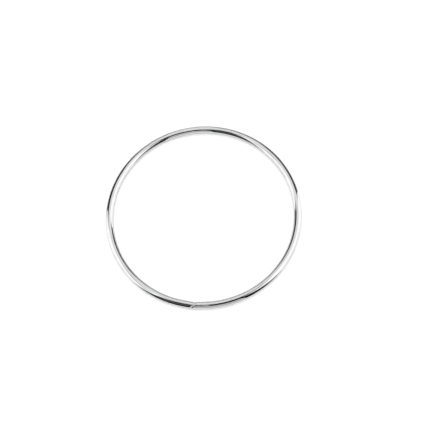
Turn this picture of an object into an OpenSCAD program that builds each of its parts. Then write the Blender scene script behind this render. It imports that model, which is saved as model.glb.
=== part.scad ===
// Welded ring of round wire, the plain frame that a small wreath is built on.
// Millimetres, +Z up. The ring lies flat: z = 0 is the surface it rests on, and the origin is
// the centre of the ring on that surface.

/* [Ring] */
// Inside diameter, across the round part of the ring
ring_id = 150; // [60:5:400]
// Diameter of the round steel wire
wire_d = 6; // [2:0.2:8]

/* [Joint] */
// Where the two ends meet, counted anticlockwise from +X as seen from above
joint_angle = 255; // [0:5:355]
// Straight length that bending leaves at each end, from the furthest reach of the cut
straight_end = 5; // [2:0.5:12]
// Slant of the sheared ends, away from a square cut
cut_slant = 34; // [0:1:45]
// Lean of the cut outwards, away from upright
cut_lean = 23; // [-30:1:30]
// Width of the weld between the two ends
weld_w = 1; // [0.4:0.1:2]
// Height of the weld above the surface of the wire
weld_crown = 0.2; // [0:0.05:0.4]

/* [Hidden] */

// Facets of the wire's section, and of the bend round the ring
SECTION_FN = 64;
BEND_FN = 192;

wire_r = wire_d / 2;
// Radius of the wire's centre line in the bend
bend_r = ring_id / 2 + wire_r;
// How far along the wire a slanted cut face reaches from the middle of the joint
cut_reach = (weld_w / 2 + wire_r * sin(cut_slant)) / cos(cut_slant);
// Length of each straight end, from the middle of the joint to the bend
end_length = cut_reach + straight_end;
// Half of the angle that the two straight ends take up at the ring's centre
joint_half_angle = atan(end_length / bend_r);
// Distance from the ring's axis to the point where the two straight centre lines cross
crossing_r = bend_r / cos(joint_half_angle);
// Length of rod past the crossing, enough to reach through a slanted cut
past_crossing = wire_d + weld_w;
// Edges of cubes that are larger than everything near the joint, and than the whole ring
block = 4 * (wire_d + end_length);
ring_block = 4 * ring_id + block;

// Turns its children about the ring's axis, so that +X points at the joint.
module at_joint() {
    rotate([0, 0, joint_angle]) children();
}

// Inside at_joint, turns its children so that +X points at one end of the bend.
// side is 1 for the anticlockwise end of the joint and -1 for the clockwise one.
module at_bend_end(side) {
    rotate([0, 0, side * joint_half_angle]) children();
}

// Inside at_joint, places its children at the weld's centre, with +Y square to the cut faces.
module at_cut() {
    translate([crossing_r, 0, wire_r]) rotate([0, cut_lean, 0]) rotate([0, 0, -cut_slant]) children();
}

// Cube that stands on the XZ plane, towards +Y for side 1 and towards -Y for side -1.
module half_block(side, edge) {
    translate([-edge / 2, side > 0 ? 0 : -edge, -edge / 2]) cube(edge);
}

// Straight rod of diameter d, from one end of the bend to a little past the crossing.
module straight_rod(side, d) {
    at_bend_end(side) translate([bend_r, 0, wire_r]) rotate([90 * side, 0, 0])
        cylinder(d = d, h = end_length + past_crossing, $fn = SECTION_FN);
}

// Wedge from the ring's axis that holds the joint and both straight ends.
module joint_wedge() {
    intersection_for (side = [1, -1]) at_bend_end(side) half_block(-side, ring_block);
}

// The bend: all of the ring but the two straight ends. It is turned as an end is, so that the
// faces where they meet come out of the same sums.
module bend() {
    difference() {
        at_bend_end(1) rotate_extrude($fn = BEND_FN)
            translate([bend_r, wire_r]) circle(d = wire_d, $fn = SECTION_FN);
        joint_wedge();
    }
}

// One straight end, sheared off along the near face of the weld.
module sheared_end(side) {
    difference() {
        straight_rod(side, wire_d);
        at_cut() translate([0, side * weld_w / 2, 0]) half_block(-side, block);
    }
}

// The wire: one rod, bent round until its two ends face each other.
module ring_wire() {
    color([0.78, 0.79, 0.80]) at_joint() union() {
        bend();
        for (side = [1, -1]) sheared_end(side);
    }
}

// The weld: fills the slanted gap and stands a little proud, except underneath, where it is
// dressed level with the wire so that the ring lies flat.
module butt_weld() {
    color([0.86, 0.86, 0.86]) at_joint() difference() {
        intersection() {
            at_cut() cube([block, weld_w, block], center = true);
            for (side = [1, -1]) straight_rod(side, wire_d + 2 * weld_crown);
        }
        translate([crossing_r - block / 2, -block / 2, -block]) cube(block);
    }
}

ring_wire();
butt_weld();
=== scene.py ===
from math import atan, atan2, cos, pi, radians, sin

import bmesh
import bpy
from mathutils import Matrix, Quaternion, Vector, noise


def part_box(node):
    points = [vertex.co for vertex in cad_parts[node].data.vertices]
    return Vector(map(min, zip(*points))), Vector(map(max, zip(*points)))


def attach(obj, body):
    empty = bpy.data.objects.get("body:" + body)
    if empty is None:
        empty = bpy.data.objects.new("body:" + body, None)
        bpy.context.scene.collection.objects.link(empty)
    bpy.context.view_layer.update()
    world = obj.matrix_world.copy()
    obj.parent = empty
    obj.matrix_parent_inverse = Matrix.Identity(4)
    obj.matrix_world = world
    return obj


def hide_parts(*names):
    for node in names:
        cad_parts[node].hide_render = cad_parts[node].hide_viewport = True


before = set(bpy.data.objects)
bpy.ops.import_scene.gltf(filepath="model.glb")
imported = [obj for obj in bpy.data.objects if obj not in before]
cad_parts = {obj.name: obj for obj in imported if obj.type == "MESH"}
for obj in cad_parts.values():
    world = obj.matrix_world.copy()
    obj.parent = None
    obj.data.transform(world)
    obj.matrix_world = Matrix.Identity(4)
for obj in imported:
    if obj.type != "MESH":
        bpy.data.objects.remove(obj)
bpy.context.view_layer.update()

# ---------------------------------------------------------------------------------------------
# Sizes, in metres and radians. The ring's own come from the frame, and the joint's repeat the
# CAD model's values, which the frame doesn't hold.

MM = 0.001
UP = Vector((0, 0, 1))

wire_low, wire_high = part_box("ring_wire")
weld_low, weld_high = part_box("butt_weld")
weld_centre = (weld_low + weld_high) / 2

RING_OD = wire_high.x - wire_low.x
WIRE_R = (wire_high.z - wire_low.z) / 2
BEND_R = RING_OD / 2 - WIRE_R
JOINT_ANGLE = atan2(weld_centre.y, weld_centre.x)

STRAIGHT_END = 5 * MM
CUT_SLANT = radians(34)
CUT_LEAN = radians(23)
WELD_W = 1.0 * MM
WELD_CROWN = 0.2 * MM

# From the middle of the joint to the furthest reach of the cut, and to the start of the bend.
CUT_REACH = (WELD_W / 2 + WIRE_R * sin(CUT_SLANT)) / cos(CUT_SLANT)
END_LENGTH = CUT_REACH + STRAIGHT_END
JOINT_HALF_ANGLE = atan(END_LENGTH / BEND_R)
CROSSING_R = BEND_R / cos(JOINT_HALF_ANGLE)
WIRE_LENGTH = 2 * END_LENGTH + BEND_R * 2 * (pi - JOINT_HALF_ANGLE)

# How finely the meshes are cut: points round the wire, and rows along it.
SECTION_POINTS = 64
BEND_ROWS = 720
STRAIGHT_ROWS = 14
EDGE_ROWS = 5
BEAD_ROWS = 12

# ---------------------------------------------------------------------------------------------
# The wire's path. s is the distance along the wire from the point where its ends would cross,
# counted anticlockwise, and phi is the angle round its section, from outwards to up. side is 1
# for the end on the joint's anticlockwise side, where s starts, and -1 for the other end.

# The change from straight to round is spread over this length, by averaging this many points.
BLEND_SPAN = 3 * MM
BLEND_STEPS = 8


def radial(angle):
    """Level unit vector that points away from the ring's axis at that angle."""
    return Vector((cos(angle), sin(angle), 0))


CROSSING = radial(JOINT_ANGLE) * CROSSING_R + UP * WIRE_R
CUT_NORMAL = (
    Matrix.Rotation(JOINT_ANGLE, 3, "Z")
    @ Matrix.Rotation(CUT_LEAN, 3, "Y")
    @ Matrix.Rotation(-CUT_SLANT, 3, "Z")
    @ Vector((0, 1, 0))
)


def end_outward(side):
    """Outward direction, square to the straight end on that side of the joint."""
    return radial(JOINT_ANGLE + side * JOINT_HALF_ANGLE)


def end_direction(side):
    """Direction of a straight end, from the crossing towards the bend."""
    return side * UP.cross(end_outward(side))


def plain_path(s):
    """Point on the centre line as designed: straight, round, straight."""
    if s < END_LENGTH:
        return CROSSING + end_direction(1) * s
    if s > WIRE_LENGTH - END_LENGTH:
        return CROSSING + end_direction(-1) * (WIRE_LENGTH - s)
    turned = (s - END_LENGTH) / BEND_R
    return radial(JOINT_ANGLE + JOINT_HALF_ANGLE + turned) * BEND_R + UP * WIRE_R


def path(s):
    """The same, with the change from straight to round spread out, as a bender leaves it."""
    total = Vector((0, 0, 0))
    for i in range(BLEND_STEPS):
        total += plain_path(s + ((i + 0.5) / BLEND_STEPS - 0.5) * BLEND_SPAN)
    return total / BLEND_STEPS


def outward(s):
    """Level direction square to the path, away from the ring's middle."""
    step = 0.1 * MM
    return (path(s + step) - path(s - step)).cross(UP).normalized()


def surface_point(s, phi, radius):
    """Point on a tube of that radius round the path."""
    return path(s) + radius * (cos(phi) * outward(s) + sin(phi) * UP)


def cut_distance(side, phi):
    """How far from the crossing the near face of the weld meets the wire's surface."""
    reach = WIRE_R * (cos(phi) * end_outward(side) + sin(phi) * UP)
    away = side * CUT_NORMAL
    return (WELD_W / 2 - away.dot(reach)) / away.dot(end_direction(side))


# ---------------------------------------------------------------------------------------------
# Meshes

# The sheared edges slope down to the weld, by this depth over this length on each side of the
# joint. The anticlockwise one is undercut, and shows as a dark notch beside the bright weld.
EDGE_DROP = {1: 0.16 * MM, -1: 0.12 * MM}
EDGE_RUN = {1: 0.8 * MM, -1: 0.12 * MM}
# Power that shapes the slope, which is steepest at the weld.
EDGE_CURVE = 1.3

# The weld's bead: how uneven it is, how often that changes round the wire and across the bead,
# how much of its height is left where it is dressed, and the direction in which it is fullest.
BEAD_UNEVEN = 0.35
BEAD_LUMPS_ROUND = 6
BEAD_LUMPS_ACROSS = 2
BEAD_DRESSED = 0.35
BEAD_FULLEST = radians(-10)
# Powers that flatten the bead's top, and round off its fall to the sheared edges.
BEAD_TOP_CURVE = 0.7
BEAD_FALL_CURVE = 0.5


def angles_round():
    """Angles of the points round the wire's section."""
    return [2 * pi * i / SECTION_POINTS for i in range(SECTION_POINTS)]


def add_object(name, mesh):
    """Scene object made from a bmesh, which is freed."""
    data = bpy.data.meshes.new(name)
    mesh.to_mesh(data)
    mesh.free()
    obj = bpy.data.objects.new(name, data)
    bpy.context.scene.collection.objects.link(obj)
    return obj


def lofted(name, rows):
    """Closed smooth mesh through rows of points, with a flat cap on the first and last row."""
    mesh = bmesh.new()
    verts = [[mesh.verts.new(point) for point in row] for row in rows]
    for low, high in zip(verts, verts[1:]):
        for i in range(len(low)):
            j = (i + 1) % len(low)
            mesh.faces.new((low[i], low[j], high[j], high[i])).smooth = True
    for cap in (verts[0][::-1], verts[-1]):
        for edge in mesh.faces.new(cap).edges:
            edge.smooth = False
    bmesh.ops.recalc_face_normals(mesh, faces=mesh.faces)
    return add_object(name, mesh)


def wire_end_rows(side):
    """Rows of one straight end, from the sheared face to the bend, its edge sloping down."""
    rows = []
    for k in range(EDGE_ROWS):
        share = k / (EDGE_ROWS - 1)
        drop = EDGE_DROP[side] * (1 - share) ** EDGE_CURVE
        set_back = EDGE_RUN[side] * share
        rows.append([(cut_distance(side, phi) + set_back, drop) for phi in angles_round()])
    for k in range(1, STRAIGHT_ROWS):
        share = k / STRAIGHT_ROWS
        starts = [cut_distance(side, phi) + EDGE_RUN[side] for phi in angles_round()]
        rows.append([(start + (END_LENGTH - start) * share, 0) for start in starts])
    return [
        [
            surface_point(at if side > 0 else WIRE_LENGTH - at, phi, WIRE_R - drop)
            for (at, drop), phi in zip(row, angles_round())
        ]
        for row in rows
    ]


def make_wire():
    """The bent wire, from one sheared end right round to the other."""
    bend_length = WIRE_LENGTH - 2 * END_LENGTH
    rows = wire_end_rows(1)
    for k in range(BEND_ROWS + 1):
        s = END_LENGTH + bend_length * k / BEND_ROWS
        rows.append([surface_point(s, phi, WIRE_R) for phi in angles_round()])
    rows += wire_end_rows(-1)[::-1]
    return lofted("wreath_ring_wire", rows)


def bead_height(phi, across):
    """Height of the bead above the wire, at that share of its width from the clockwise side."""
    lumps = Vector((
        BEAD_LUMPS_ROUND * cos(phi),
        BEAD_LUMPS_ROUND * sin(phi),
        BEAD_LUMPS_ACROSS * across,
    ))
    uneven = 1 + BEAD_UNEVEN * noise.noise(lumps)
    dressed = BEAD_DRESSED + (1 - BEAD_DRESSED) * max(0, cos(phi - BEAD_FULLEST))
    return WELD_CROWN * uneven * dressed * sin(pi * across) ** BEAD_TOP_CURVE


def make_weld():
    """The weld between the ends: a low bead, fullest outside and dressed level underneath."""
    rows = []
    for k in range(BEAD_ROWS + 1):
        across = k / BEAD_ROWS
        edge_drop = EDGE_DROP[-1] + (EDGE_DROP[1] - EDGE_DROP[-1]) * across
        fall = edge_drop * (1 - sin(pi * across) ** BEAD_FALL_CURVE)
        row = []
        for phi in angles_round():
            near = surface_point(WIRE_LENGTH - cut_distance(-1, phi), phi, WIRE_R)
            far = surface_point(cut_distance(1, phi), phi, WIRE_R)
            out = cos(phi) * radial(JOINT_ANGLE) + sin(phi) * UP
            point = near.lerp(far, across) + out * (bead_height(phi, across) - fall)
            point.z = max(point.z, 0)
            row.append(point)
        rows.append(row)
    return lofted("wreath_butt_weld", rows)


# ---------------------------------------------------------------------------------------------
# Materials


class Shader:
    """Small helper that adds and links the nodes of one material."""

    def __init__(self, name):
        self.material = bpy.data.materials.new(name)
        self.material.use_nodes = True
        self.tree = self.material.node_tree
        self.tree.nodes.clear()

    def add(self, kind, settings=None, **inputs):
        """New node. Inputs are named after its sockets, with _ for each space."""
        node = self.tree.nodes.new(kind)
        for key, value in (settings or {}).items():
            setattr(node, key, value)
        for key, value in inputs.items():
            self.feed(node.inputs[key.replace("_", " ")], value)
        return node

    def feed(self, socket, value):
        """Links another node's output to the socket, or sets the socket to a constant."""
        if isinstance(value, bpy.types.NodeSocket):
            self.tree.links.new(value, socket)
        else:
            socket.default_value = value

    def math(self, operation, *values):
        """Output of a new math node."""
        node = self.tree.nodes.new("ShaderNodeMath")
        node.operation = operation
        for socket, value in zip(node.inputs, values):
            self.feed(socket, value)
        return node.outputs[0]

    def ramp(self, value, low, high, to_low, to_high):
        """Output that goes smoothly from to_low to to_high as the value goes from low to high."""
        node = self.add("ShaderNodeMapRange", {"interpolation_type": "SMOOTHSTEP"})
        for socket, number in zip(node.inputs, (value, low, high, to_low, to_high)):
            self.feed(socket, number)
        return node.outputs[0]


# Drawing lines: how much their pattern is stretched out along the wire, as a factor on the
# distance, and their depth.
LINE_SQUEEZE = 0.02
LINE_DEPTH = 0.0035 * MM
# Brightness of the dull patches, as a share of the clear plating's.
HAZE_TONE = 0.94


def wire_coordinates(shader):
    """Where a point lies: outside and above the wire's centre line, and along the wire."""
    place = shader.add("ShaderNodeTexCoord").outputs["Object"]
    # The joint is turned to the angle where the arc tangent jumps, so that it hides the seam.
    turned = shader.add("ShaderNodeVectorRotate", {"rotation_type": "Z_AXIS"}, Vector=place)
    turned.inputs["Angle"].default_value = pi - JOINT_ANGLE
    parts = shader.add("ShaderNodeSeparateXYZ", Vector=turned.outputs[0])
    x, y, z = parts.outputs
    x_squared = shader.math("MULTIPLY", x, x)
    y_squared = shader.math("MULTIPLY", y, y)
    reach = shader.math("SQRT", shader.math("ADD", x_squared, y_squared))
    across = shader.math("SUBTRACT", reach, BEND_R)
    above = shader.math("SUBTRACT", z, WIRE_R)
    along = shader.math("MULTIPLY", shader.math("ARCTAN2", y, x), BEND_R)
    return across, above, along


def plated(name, colour, rough_low, rough_high, peel_depth):
    """Bright plating over drawn wire: faint lines along it, a soft orange peel and dull patches."""
    shader = Shader(name)
    across, above, along = wire_coordinates(shader)
    squeezed = shader.math("MULTIPLY", along, LINE_SQUEEZE)
    line_space = shader.add("ShaderNodeCombineXYZ", X=across, Y=above, Z=squeezed)
    lines = shader.add(
        "ShaderNodeTexNoise", Vector=line_space.outputs[0], Scale=2600.0, Detail=4.0, Roughness=0.6
    )
    place = shader.add("ShaderNodeTexCoord").outputs["Object"]
    peel = shader.add("ShaderNodeTexNoise", Vector=place, Scale=420.0, Detail=2.0)
    haze = shader.add("ShaderNodeTexNoise", Vector=place, Scale=90.0, Detail=5.0, Roughness=0.65)
    height = shader.math(
        "ADD",
        shader.math("MULTIPLY", lines.outputs["Fac"], LINE_DEPTH),
        shader.math("MULTIPLY", peel.outputs["Fac"], peel_depth),
    )
    bump = shader.add("ShaderNodeBump", Height=height, Distance=1.0, Strength=1.0)
    roughness = shader.ramp(
        haze.outputs["Fac"], low=0.35, high=0.7, to_low=rough_low, to_high=rough_high
    )
    patches = shader.ramp(haze.outputs["Fac"], low=0.3, high=0.75, to_low=0.0, to_high=1.0)
    tone = shader.add("ShaderNodeMix", {"data_type": "RGBA"})
    shader.feed(tone.inputs["Factor"], patches)
    shader.feed(tone.inputs["A"], colour)
    shader.feed(tone.inputs["B"], tuple(HAZE_TONE * c for c in colour[:3]) + (1,))
    surface = shader.add(
        "ShaderNodeBsdfPrincipled",
        Metallic=1.0,
        Roughness=roughness,
        Base_Color=tone.outputs["Result"],
        Normal=bump.outputs[0],
    )
    shader.add("ShaderNodeOutputMaterial", Surface=surface.outputs[0])
    return shader.material


def wire_plating():
    """The wire's plating, which is nearly a mirror."""
    return plated(
        "plated_wire",
        colour=(0.80, 0.80, 0.81, 1),
        rough_low=0.03,
        rough_high=0.09,
        peel_depth=0.003 * MM,
    )


def weld_plating():
    """The weld's, duller and more uneven, so that the bead shows as an even light line."""
    return plated(
        "plated_weld",
        colour=(0.84, 0.84, 0.84, 1),
        rough_low=0.28,
        rough_high=0.4,
        peel_depth=0.012 * MM,
    )


# ---------------------------------------------------------------------------------------------
# The object

wire = make_wire()
wire.data.materials.append(wire_plating())
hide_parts("ring_wire")
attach(wire, "root")

weld = make_weld()
weld.data.materials.append(weld_plating())
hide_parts("butt_weld")
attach(weld, "root")

# ---------------------------------------------------------------------------------------------
# Studio. Azimuths count from the camera's side, positive to the right, as angles seen from the
# ring's middle. The cards are only seen in the plating. The floor is lit by the white world, by
# a broad light from above and by a painted glow of its own, which lifts its shadow.

# The camera's side is this far to the right of the ring's own front. Minus is to the left.
VIEW_AZIMUTH = radians(-1.3)

# How far off the cards stand: the ceiling, the walls, the flags beside the camera, the ones
# overhead, and the tent of flags close behind the ring and right above it.
CEILING_R = 3.3
WALL_R = 3.0
FLAG_R = 1.5
TOP_R = 1.0
TENT_R = 0.65

# Name, four (azimuth, elevation) corners in degrees, strength and distance of each card. The
# lower two corners come first. Strengths under 0.1 are black flags, and over 0.8 white walls.
# Where two cards overlap, the nearer one hides the other.
CARDS = [
    ("ceiling", ((105, 60), (255, 60), (105, 90), (255, 90)), 0.88, CEILING_R),
    ("front_wall", ((-20, -13), (25, -13), (-22, 48), (20, 48)), 0.55, WALL_R),
    ("front_wall_foot", ((-20, -15), (25, -15), (-20, -6), (25, -6)), 0.22, FLAG_R),
    ("front_wall_top", ((-10, 46), (22, 46), (-8, 74), (30, 74)), 0.02, FLAG_R),
    ("flag_left", ((-70, -19), (-20, -17), (-57, 24), (-18, 26)), 0.01, FLAG_R),
    ("flag_left_upper", ((-57, 24), (-18, 26), (-54, 56), (-12, 50)), 0.1, FLAG_R),
    ("flag_left_peak", ((-24, 44), (-4, 44), (-22, 64), (-6, 64)), 0.02, FLAG_R),
    ("flag_left_top", ((-58, 52), (-20, 52), (-60, 76), (-16, 76)), 0.03, TOP_R),
    ("flag_right", ((25, -21), (61, -19), (19, 72), (29, 72)), 0.01, FLAG_R),
    ("overhead", ((-45, 68), (62, 68), (-45, 87), (62, 87)), 0.02, TENT_R),
    ("overhead_left", ((-110, 77), (-45, 73), (-110, 85), (-45, 85)), 0.25, TOP_R),
    ("overhead_right", ((26, 66), (88, 73), (26, 84), (88, 83)), 0.06, TOP_R),
    ("streak_left", ((-104, 57), (-64, 45), (-104, 66), (-64, 60)), 0.4, WALL_R),
    ("flag_back_left", ((-154, 0), (-120, -12), (-152, 48), (-120, 50)), 0.01, TENT_R),
    ("gap_back_left", ((-172, 10), (-150, 4), (-170, 30), (-150, 44)), 0.05, TENT_R),
    ("flag_back_right", ((114.5, -13), (154, -4), (114.5, 42), (150, 39)), 0.01, TENT_R),
    ("gap_back_right", ((150, -2), (172, 2), (150, 34), (170, 28)), 0.1, TENT_R),
    ("back_foot", ((168, 0), (192, 2), (168, 26), (192, 29)), 0.2, WALL_R),
    ("back_wall", ((126, 40), (234, 40), (130, 70), (230, 70)), 0.85, WALL_R),
    ("table_left", ((-95, -14), (-68, -14), (-95, 2), (-68, 2)), 0.85, WALL_R),
    ("table_right", ((61, -14), (90, -14), (61, 2), (90, 2)), 0.85, WALL_R),
    ("floor_shade", ((-120, -90), (120, -90), (-120, -40), (120, -40)), 0.62, WALL_R),
    ("floor_shade_back", ((120, -90), (240, -90), (120, -18), (240, -18)), 0.45, WALL_R),
]
# Squares along each side of a card, which keep it curved.
CARD_STEPS = 24

FLOOR_R = 40.0
# Painted light: the paper glows by itself, evenly, which lifts the shadow under the wire and keeps
# it pale.
PAINTED_FLOOR_GLOW = 0.14
# The light from above sets how deep the soft shadow is.
TOP_LIGHT_STRENGTH = 0.3
TOP_LIGHT_SPREAD = radians(80)
TOP_LIGHT_TILT = radians(-12)
# Bright enough for the paper to come out white.
WORLD_STRENGTH = 1.25


def studio_point(azimuth, elevation, distance):
    """Point at that distance from the ring's middle, in the studio's directions."""
    azimuth += VIEW_AZIMUTH
    level = cos(elevation)
    return distance * Vector((level * sin(azimuth), -level * cos(azimuth), sin(elevation)))


def glow(name, strength):
    """Even white light, for a card's surface."""
    shader = Shader(name)
    light = shader.add("ShaderNodeEmission", Color=(1, 1, 1, 1), Strength=strength)
    shader.add("ShaderNodeOutputMaterial", Surface=light.outputs[0])
    return shader.material


def make_card(name, corners, strength, distance):
    """Curved card between its corners, which lights nothing and is only seen in the plating."""
    lower_left, lower_right, upper_left, upper_right = (Vector(corner) for corner in corners)
    mesh = bmesh.new()
    grid = []
    for i in range(CARD_STEPS + 1):
        low = lower_left.lerp(lower_right, i / CARD_STEPS)
        high = upper_left.lerp(upper_right, i / CARD_STEPS)
        column = []
        for j in range(CARD_STEPS + 1):
            azimuth, elevation = low.lerp(high, j / CARD_STEPS)
            point = studio_point(radians(azimuth), radians(elevation), distance)
            column.append(mesh.verts.new(point))
        grid.append(column)
    for left, right in zip(grid, grid[1:]):
        for j in range(CARD_STEPS):
            mesh.faces.new((left[j], right[j], right[j + 1], left[j + 1]))
    obj = add_object(name, mesh)
    obj.data.materials.append(glow(name, strength))
    obj.visible_camera = False
    obj.visible_diffuse = False
    obj.visible_shadow = False


def make_floor():
    """White paper that the ring lies on. The plating sees the cards below the horizon instead."""
    bpy.ops.mesh.primitive_circle_add(vertices=96, radius=FLOOR_R, fill_type="NGON")
    floor = bpy.context.object
    floor.name = "floor"
    shader = Shader("floor_paper")
    place = shader.add("ShaderNodeTexCoord").outputs["Object"]
    grain = shader.add("ShaderNodeTexNoise", Vector=place, Scale=900.0, Detail=3.0)
    shade = shader.ramp(grain.outputs["Fac"], low=0.3, high=0.7, to_low=0.88, to_high=0.9)
    surface = shader.add(
        "ShaderNodeBsdfPrincipled",
        Roughness=0.9,
        Base_Color=shade,
        # Painted light: the paper's own even glow, which lifts its shadow.
        Emission_Color=(1, 1, 1, 1),
        Emission_Strength=PAINTED_FLOOR_GLOW,
    )
    shader.add("ShaderNodeOutputMaterial", Surface=surface.outputs[0])
    floor.data.materials.append(shader.material)
    floor.visible_glossy = False


def make_top_light():
    """Broad light from above that only the floor sees."""
    data = bpy.data.lights.new("top_light", "SUN")
    data.energy = TOP_LIGHT_STRENGTH
    data.angle = TOP_LIGHT_SPREAD
    light = bpy.data.objects.new("top_light", data)
    light.visible_glossy = False
    light.rotation_euler = (TOP_LIGHT_TILT, 0, 0)
    bpy.context.scene.collection.objects.link(light)


def make_world():
    """White all round. It lights the floor, and the plating sees it where no card stands."""
    world = bpy.data.worlds.new("white_studio")
    world.use_nodes = True
    background = world.node_tree.nodes["Background"]
    background.inputs["Color"].default_value = (1, 1, 1, 1)
    background.inputs["Strength"].default_value = WORLD_STRENGTH
    bpy.context.scene.world = world


for name, corners, strength, distance in CARDS:
    make_card(name, corners, strength, distance)
make_floor()
make_top_light()
make_world()

# ---------------------------------------------------------------------------------------------
# Camera

VIEW_ELEVATION = radians(68.2)
CAMERA_ROLL = radians(-8.2)
CAMERA_DISTANCE = 1.05
# In millimetres, as Blender counts a camera's sensor and lens.
SENSOR_W = 36.0
# Shares of the picture's width: the ring's diameter, and how far its middle is off centre.
RING_SHARE = 0.463
RING_LEFT = 0.0193
RING_DOWN = 0.0088


def make_camera():
    """The camera looks at the ring's middle, and is then moved sideways without turning."""
    picture_w = RING_OD / RING_SHARE
    data = bpy.data.cameras.new("camera")
    data.sensor_width = SENSOR_W
    data.lens = SENSOR_W * CAMERA_DISTANCE / picture_w
    camera = bpy.data.objects.new("camera", data)
    back = studio_point(0, VIEW_ELEVATION, 1.0)
    turn = (-back).to_track_quat("-Z", "Y") @ Quaternion((0, 0, 1), CAMERA_ROLL)
    right = turn @ Vector((1, 0, 0))
    above = turn @ Vector((0, 1, 0))
    camera.rotation_mode = "QUATERNION"
    camera.rotation_quaternion = turn
    camera.location = (
        UP * WIRE_R
        + back * CAMERA_DISTANCE
        + picture_w * (right * RING_LEFT + above * RING_DOWN)
    )
    bpy.context.scene.collection.objects.link(camera)
    bpy.context.scene.camera = camera


make_camera()
bpy.context.scene.view_settings.view_transform = "Standard"
